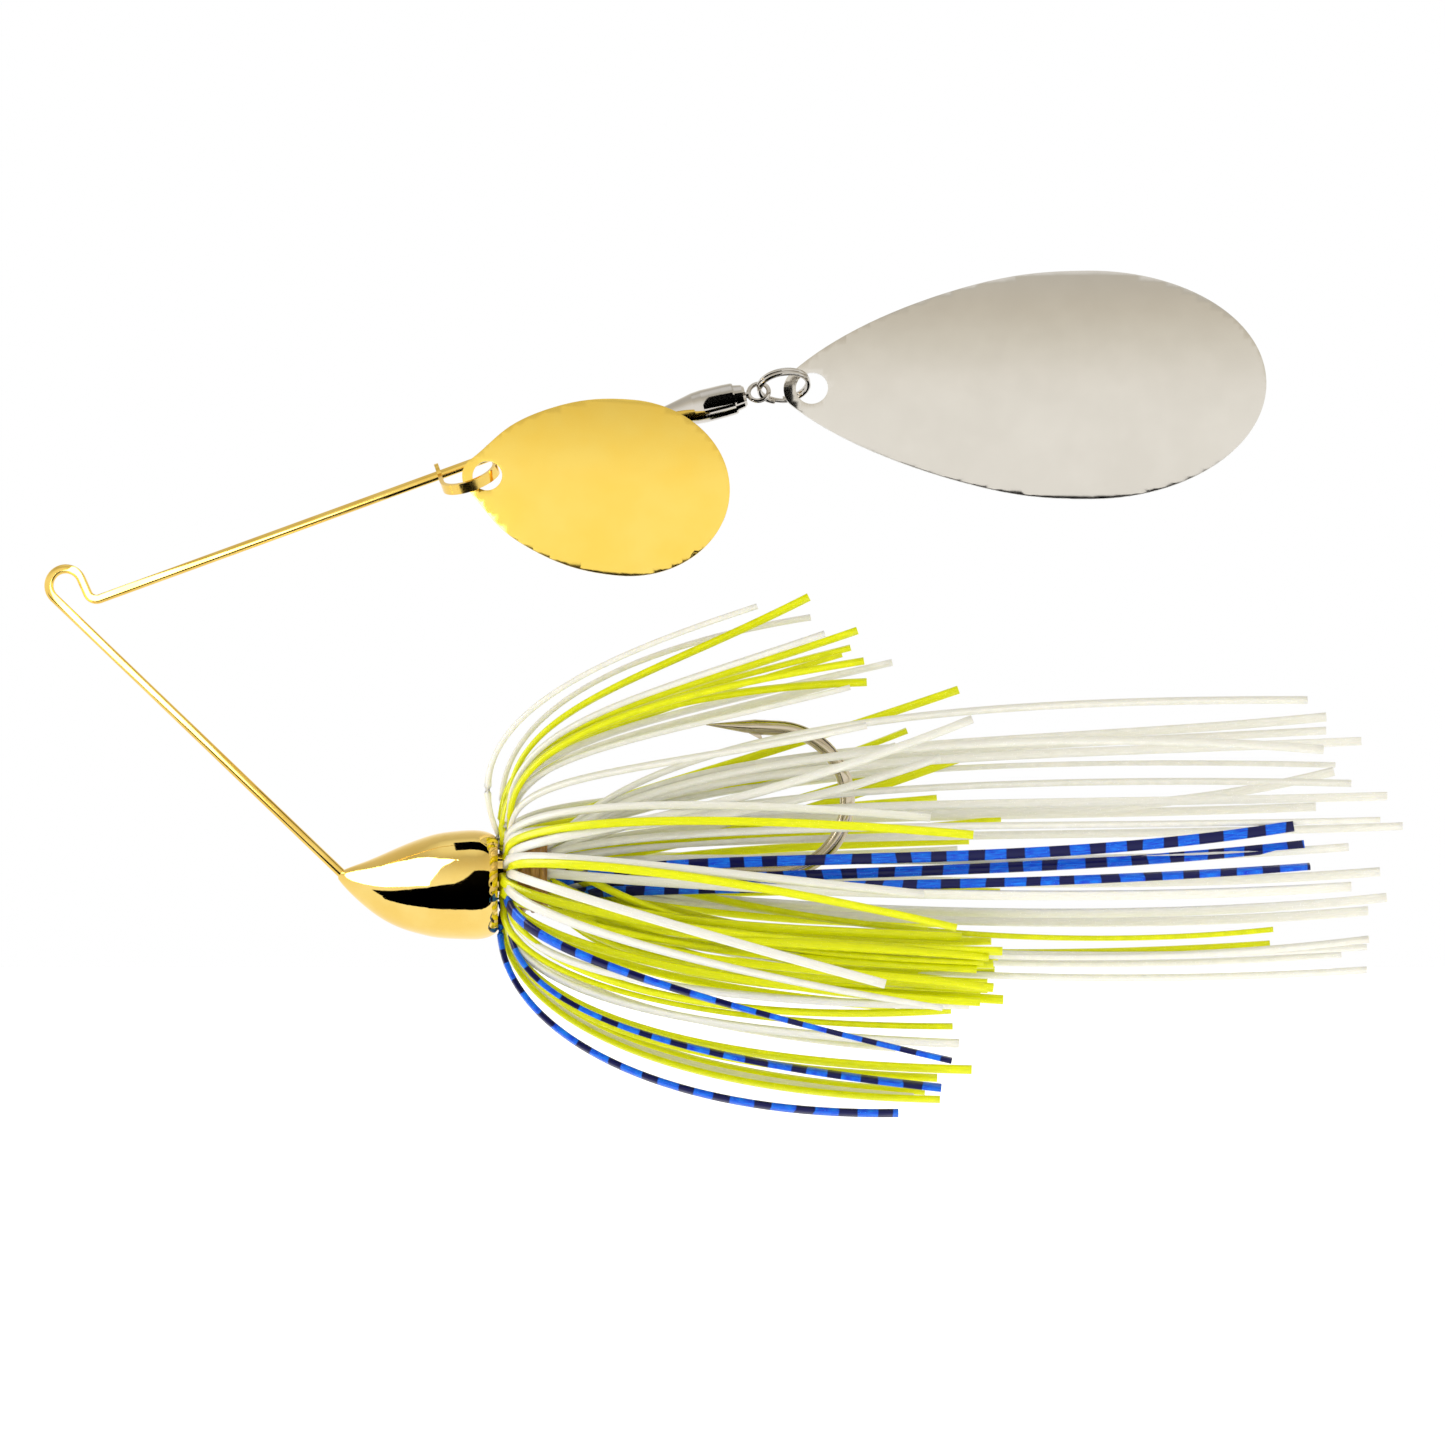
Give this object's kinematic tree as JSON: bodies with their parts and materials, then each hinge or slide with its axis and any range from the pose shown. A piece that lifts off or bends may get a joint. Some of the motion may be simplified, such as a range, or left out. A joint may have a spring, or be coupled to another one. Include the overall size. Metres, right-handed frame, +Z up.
{
  "type": "spinnerbait",
  "caption": "Spinnerbait fishing lure: bent wire frame, cast head with hook and silicone strand skirt, teardrop spinner blades on a clevis and on a ball bearing swivel.",
  "frame": {"origin": "centre of the line tie bend at the front of the wire frame", "axes": "+X backwards along the lure towards the tails of the skirt, +Z up towards the blades, +Y to the far side; the wire lies in the XZ plane, as the lure swims"},
  "size_m": [0.1289, 0.0424, 0.0797],
  "materials": {
    "gold_wire": "gold plated stainless wire, polished",
    "gold_head": "gold plated cast lead, mirror",
    "nickel_hook": "nickel plated, polished",
    "gold_blade": "gold plated, mirror",
    "nickel_blade": "nickel plated, mirror",
    "nickel_swivel": "nickel plated, polished",
    "bearing_steel": "polished steel",
    "brass_bead": "polished",
    "collar_rubber": "satin",
    "white_silicone": "pearl, translucent, glossy",
    "chartreuse_silicone": "glossy",
    "blue_silicone": "glossy, with dark bars"
  },
  "bodies": {
    "frame": {"wire_frame": "gold_wire", "head": "gold_head", "hook": "nickel_hook", "skirt_collar": "collar_rubber", "skirt_white_upper": "white_silicone", "skirt_white_lower": "white_silicone", "skirt_chartreuse_upper": "chartreuse_silicone", "skirt_chartreuse_lower": "chartreuse_silicone", "skirt_blue": "blue_silicone"},
    "clevis": {"front_clevis": "gold_wire"},
    "small_blade": {"front_blade": "gold_blade"},
    "bead_one": {"front_bead": "brass_bead"},
    "bead_two": {"rear_bead": "brass_bead"},
    "swivel": {"swivel_body": "nickel_swivel", "swivel_cap": "nickel_swivel", "swivel_front_eye": "nickel_swivel"},
    "bearing": {"swivel_balls": "bearing_steel"},
    "rear_eye": {"swivel_rear_eye": "nickel_swivel"},
    "ring": {"split_ring": "nickel_swivel"},
    "large_blade": {"rear_blade": "nickel_blade"}
  },
  "joints": [
    {"name": "clevis_spin", "type": "hinge", "parent": "frame", "child": "clevis", "pos_m": [0.03804, 0, 0.01143], "axis": [0.9397, 0, 0.342], "continuous": true},
    {"name": "front_blade_swing", "type": "hinge", "parent": "clevis", "child": "small_blade", "pos_m": [0.04047, -0.005, 0.01038], "axis": [0.342, 0, -0.9397], "range_deg": [0, 35]},
    {"name": "front_bead_spin", "type": "hinge", "parent": "frame", "child": "bead_one", "pos_m": [0.04339, 0, 0.01338], "axis": [0.9397, 0, 0.342], "continuous": true},
    {"name": "rear_bead_spin", "type": "hinge", "parent": "frame", "child": "bead_two", "pos_m": [0.04711, 0, 0.01473], "axis": [0.9397, 0, 0.342], "continuous": true},
    {"name": "swivel_swing", "type": "hinge", "parent": "frame", "child": "swivel", "pos_m": [0.05166, 0, 0.01479], "axis": [0, -1, 0], "range_deg": [-10, 45]},
    {"name": "swivel_spin", "type": "hinge", "parent": "swivel", "child": "rear_eye", "pos_m": [0.06264, 0, 0.01757], "axis": [0.9694, 0, 0.2453], "continuous": true},
    {"name": "bearing_spin", "type": "hinge", "parent": "swivel", "child": "bearing", "pos_m": [0.06264, 0, 0.01757], "axis": [0.9694, 0, 0.2453], "continuous": true},
    {"name": "split_ring_swing", "type": "hinge", "parent": "rear_eye", "child": "ring", "pos_m": [0.06589, 0, 0.01857], "axis": [0.1336, 0.8387, -0.528], "range_deg": [-40, 10]},
    {"name": "rear_blade_swing", "type": "hinge", "parent": "ring", "child": "large_blade", "pos_m": [0.07052, 0, 0.01938], "axis": [0.0946, 0.8387, -0.5364], "range_deg": [-40, 8]}
  ],
  "couplings": [
    {"joint": "bearing_spin", "follows": "swivel_spin", "ratio": 0.5}
  ]
}
